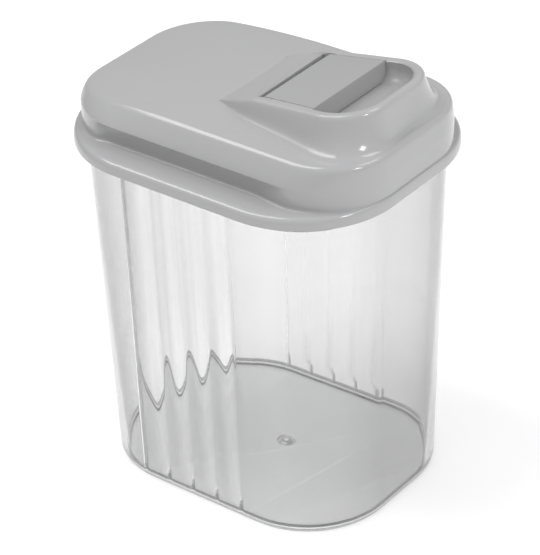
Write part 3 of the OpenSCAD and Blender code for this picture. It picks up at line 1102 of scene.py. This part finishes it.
# %% Grey plastic of the lid and the flap
POLISHED, SATIN = 0.14, 0.36
lid_plastic, lid_skin = moulded("lid_grey_plastic", (0.365, 0.365, 0.37), POLISHED)
flap_plastic, _ = moulded("flap_grey_plastic", (0.325, 0.325, 0.33), 0.2)
tree = lid_plastic.node_tree
satin = add_node(tree, "ShaderNodeGroup", {"node_tree": satin_group()}).outputs["Mask"]
set_inputs(tree, lid_skin, {"Gloss": map_range(tree, satin, 0, 1, POLISHED, SATIN)})
for piece, plastic in ((lid, lid_plastic), (flap, flap_plastic)):
    piece.data.materials.clear()
    piece.data.materials.append(plastic)
print("grey plastics:", lid_plastic.name, "and", flap_plastic.name)

# %% [markdown]
# The container is clear, so light bends in its reeds and rounded edges. A thick or
# slanting wall swallows more light than a plain one, and a sharp bend throws light
# to one side. Counting that in a real glass volume takes very many rays. So that
# loss of light is painted into the plastic's colour instead, as painted shade: dark
# where the surface is seen at a slant, dark on the steep flanks of the grooves, and
# painted dark lines round the foot with a painted light line between them, where the
# rounding outside and the rounding inside each draw a line round the floor.

# %% Painted dark and light lines round the foot, by height
# Greys by height: the last one is the wall's own clear grey; the ones below it are painted shade
# lines and a painted light line round the foot.
PAINTED_LINES_TOP = 0.012
FOOT_GREY_AND_PAINTED_LINES = ((0.0, 0.70), (0.02, 0.70), (0.05, 0.2), (0.2, 0.4), (0.245, 0.70),
              (0.252, 0.70), (0.257, 0.10), (0.288, 0.10), (0.305, 0.95), (0.36, 0.95),
              (0.38, 0.10), (0.43, 0.10), (0.455, 0.84))
clear = bpy.data.materials.new("clear_container_plastic")
clear.use_nodes = True
tree = clear.node_tree
where = add_node(tree, "ShaderNodeSeparateXYZ", inputs={"Vector": object_place(tree)})
height = map_range(tree, where.outputs["Z"], 0, PAINTED_LINES_TOP)
painted_bands = add_node(tree, "ShaderNodeValToRGB", inputs={"Fac": height})
stops = painted_bands.color_ramp.elements
while len(stops) < len(FOOT_GREY_AND_PAINTED_LINES):
    stops.new(0.5)
for stop, (position, grey) in zip(stops, FOOT_GREY_AND_PAINTED_LINES):
    stop.position = position
    stop.color = (grey, grey, grey, 1)
print("bands round the foot:", [round(stop.position, 3) for stop in stops])

# %% Painted shade on slanting walls and groove flanks
GROOVES_HALF = 0.0365
# Painted shade: the more slanting the view of the wall, the darker its colour.
slant = add_node(tree, "ShaderNodeLayerWeight", inputs={"Blend": 0.5}).outputs["Facing"]
painted_slant_shade = map_range(tree, slant, 0.25, 1)
normal = add_node(tree, "ShaderNodeNewGeometry").outputs["Normal"]
lengthwise = add_node(tree, "ShaderNodeSeparateXYZ", inputs={"Vector": normal}).outputs["Y"]
# Painted shade in the grooves: darker on their steep flanks along the long sides.
steep = map_range(tree, maths(tree, "ABSOLUTE", lengthwise), 0.33, 0.5)
on_side = maths(tree, "LESS_THAN", maths(tree, "ABSOLUTE", where.outputs["Y"]), GROOVES_HALF)
painted_groove_shade = maths(tree, "MULTIPLY", steep, on_side)
# The painted dark grey below is mixed into the plastic's colour wherever either painted shade
# is.
tint_and_painted_shade = add_node(tree, "ShaderNodeMix", {"data_type": "RGBA"},
                {"Factor": maths(tree, "MAXIMUM", painted_slant_shade, painted_groove_shade),
                 "A": painted_bands.outputs["Color"], "B": (0.16, 0.16, 0.16, 1)})
shader = tree.nodes["Principled BSDF"]
set_inputs(tree, shader, {"Base Color": tint_and_painted_shade.outputs["Result"], "Roughness": 0.03,
                          "IOR": 1.45, "Transmission Weight": 1.0})
print("index of the clear plastic:", round(shader.inputs["IOR"].default_value, 2))

# %% [markdown]
# A ray from a lamp passes straight through the container, because a renderer finds
# the bright patterns under glass only slowly. So does a ray that has been thrown to
# and fro inside the wall: in a real wall it runs along until it gets out, and here
# it would turn black.

# %% Let lamp rays and trapped rays through
TRAPPED_AFTER = 2.5
passing = add_node(tree, "ShaderNodeBsdfTransparent", inputs={"Color": (0.94, 0.942, 0.946, 1)})
path = add_node(tree, "ShaderNodeLightPath").outputs
trapped = maths(tree, "GREATER_THAN", path["Glossy Depth"], TRAPPED_AFTER)
mix = add_node(tree, "ShaderNodeMixShader",
               inputs={"Fac": maths(tree, "MAXIMUM", path["Is Shadow Ray"], trapped),
                       1: shader.outputs["BSDF"], 2: passing.outputs["BSDF"]})
set_inputs(tree, tree.nodes["Material Output"], {"Surface": mix.outputs["Shader"]})
container.data.materials.append(clear)
print("nodes in the clear plastic:", len(tree.nodes))

# %% [markdown]
# ## Joints
# Each piece rides on the body that the solid model's joints move, and takes
# the place of the plain solid of that name.

# %% Ride and replace
for piece, body in ((container, "container"), (lid, "lid"), (flap, "flap")):
    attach(piece, body)
    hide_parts(body)

# %% [markdown]
# ## Floor, light and camera
# The setting is a plain white table. It glows a little, as a light table does, so
# that the shadows on it stay pale.

# %% Floor
bm = bmesh.new()
bmesh.ops.create_grid(bm, x_segments=1, y_segments=1, size=4.0)
floor_mesh = bpy.data.meshes.new("floor")
bm.to_mesh(floor_mesh)
bm.free()
floor = bpy.data.objects.new("floor", floor_mesh)
bpy.context.scene.collection.objects.link(floor)
table = bpy.data.materials.new("white_light_table")
table.use_nodes = True
set_inputs(table.node_tree, table.node_tree.nodes["Principled BSDF"],
           {"Base Color": (0.88, 0.88, 0.88, 1), "Roughness": 0.9, "Specular IOR Level": 0.1,
            "Emission Color": (1, 1, 1, 1), "Emission Strength": 0.2})
floor.data.materials.append(table)
print("table, m:", [round(value, 1) for value in floor.dimensions[:2]])

# %% [markdown]
# A big soft box behind the object lights the deck and draws the long highlights
# along its edges. A second soft lamp from the right fills the front, and a small
# one low in front lights the faces that look towards the spout's side. The room
# around gives the rest: a white sky that is a little stronger overhead and leans
# towards the front left, as a studio with one bright wall would be.

# %% Lamps
def lamp(name, place, target, size, power):
    data = bpy.data.lights.new(name, "AREA")
    data.shape = "RECTANGLE"
    data.size, data.size_y = size
    data.energy = power
    thing = bpy.data.objects.new(name, data)
    thing.location = place
    direction = Vector(target) - Vector(place)
    thing.rotation_euler = direction.to_track_quat("-Z", "Y").to_euler()
    bpy.context.scene.collection.objects.link(thing)
    print(name, "stands", round(direction.length, 2), "m from its target")


lamp("soft_box_behind", (-0.3, 0.5, 1.3), (-0.3, 0, 0.2), (0.5, 0.9), 8.5)
lamp("lamp_right", (0.5, -0.7, 1.4), (0, 0, 0.18), (0.6, 0.6), 4.5)
lamp("lamp_front", (-0.25, -1.3, 0.95), (0, 0, 0.18), (0.25, 0.35), 5.0)

# %% Studio room
BRIGHT_SIDE = (-0.08, -0.12, 0.0)
world = bpy.data.worlds.new("studio")
world.use_nodes = True
sky = world.node_tree
toward_sky = add_node(sky, "ShaderNodeTexCoord").outputs["Generated"]
upwards = add_node(sky, "ShaderNodeSeparateXYZ", inputs={"Vector": toward_sky}).outputs["Z"]
overhead = map_range(sky, upwards, 0, 0.7, 0.5, 0.68, kind="SMOOTHSTEP")
sideways = add_node(sky, "ShaderNodeVectorMath", {"operation": "DOT_PRODUCT"},
                    {0: toward_sky, 1: BRIGHT_SIDE}).outputs["Value"]
set_inputs(sky, sky.nodes["Background"],
           {"Color": (1, 1, 1, 1), "Strength": maths(sky, "ADD", overhead, sideways)})
bpy.context.scene.world = world
bpy.context.scene.view_settings.view_transform = "Standard"
print("the room is brighter by up to", round(Vector(BRIGHT_SIDE).length, 2), "on one side")

# %% [markdown]
# The camera looks down from the front left with a long lens, so the verticals
# lean together only a little. Its three axes follow from its azimuth, elevation
# and roll: it looks against the first one, and the other two span its view.

# %% Camera
azimuth, elevation, roll = (math.radians(a) for a in (-51.89, 32.10, 1.90))
back = Vector((math.sin(azimuth) * math.cos(elevation),
               -math.cos(azimuth) * math.cos(elevation), math.sin(elevation)))
flat = Vector((math.cos(azimuth), math.sin(azimuth), 0))
rise = back.cross(flat)
across = flat * math.cos(roll) - rise * math.sin(roll)
upward = rise * math.cos(roll) + flat * math.sin(roll)
camera_data = bpy.data.cameras.new("camera")
camera_data.lens = 179.5
camera_data.sensor_width = 36.0
camera_data.clip_start = 0.05
camera = bpy.data.objects.new("camera", camera_data)
camera.matrix_world = Matrix((across, upward, back)).transposed().to_4x4()
camera.location = (-0.8557, -0.6704, 0.7770)
bpy.context.scene.collection.objects.link(camera)
bpy.context.scene.camera = camera
print("camera, m from the origin:", round(camera.location.length, 3))
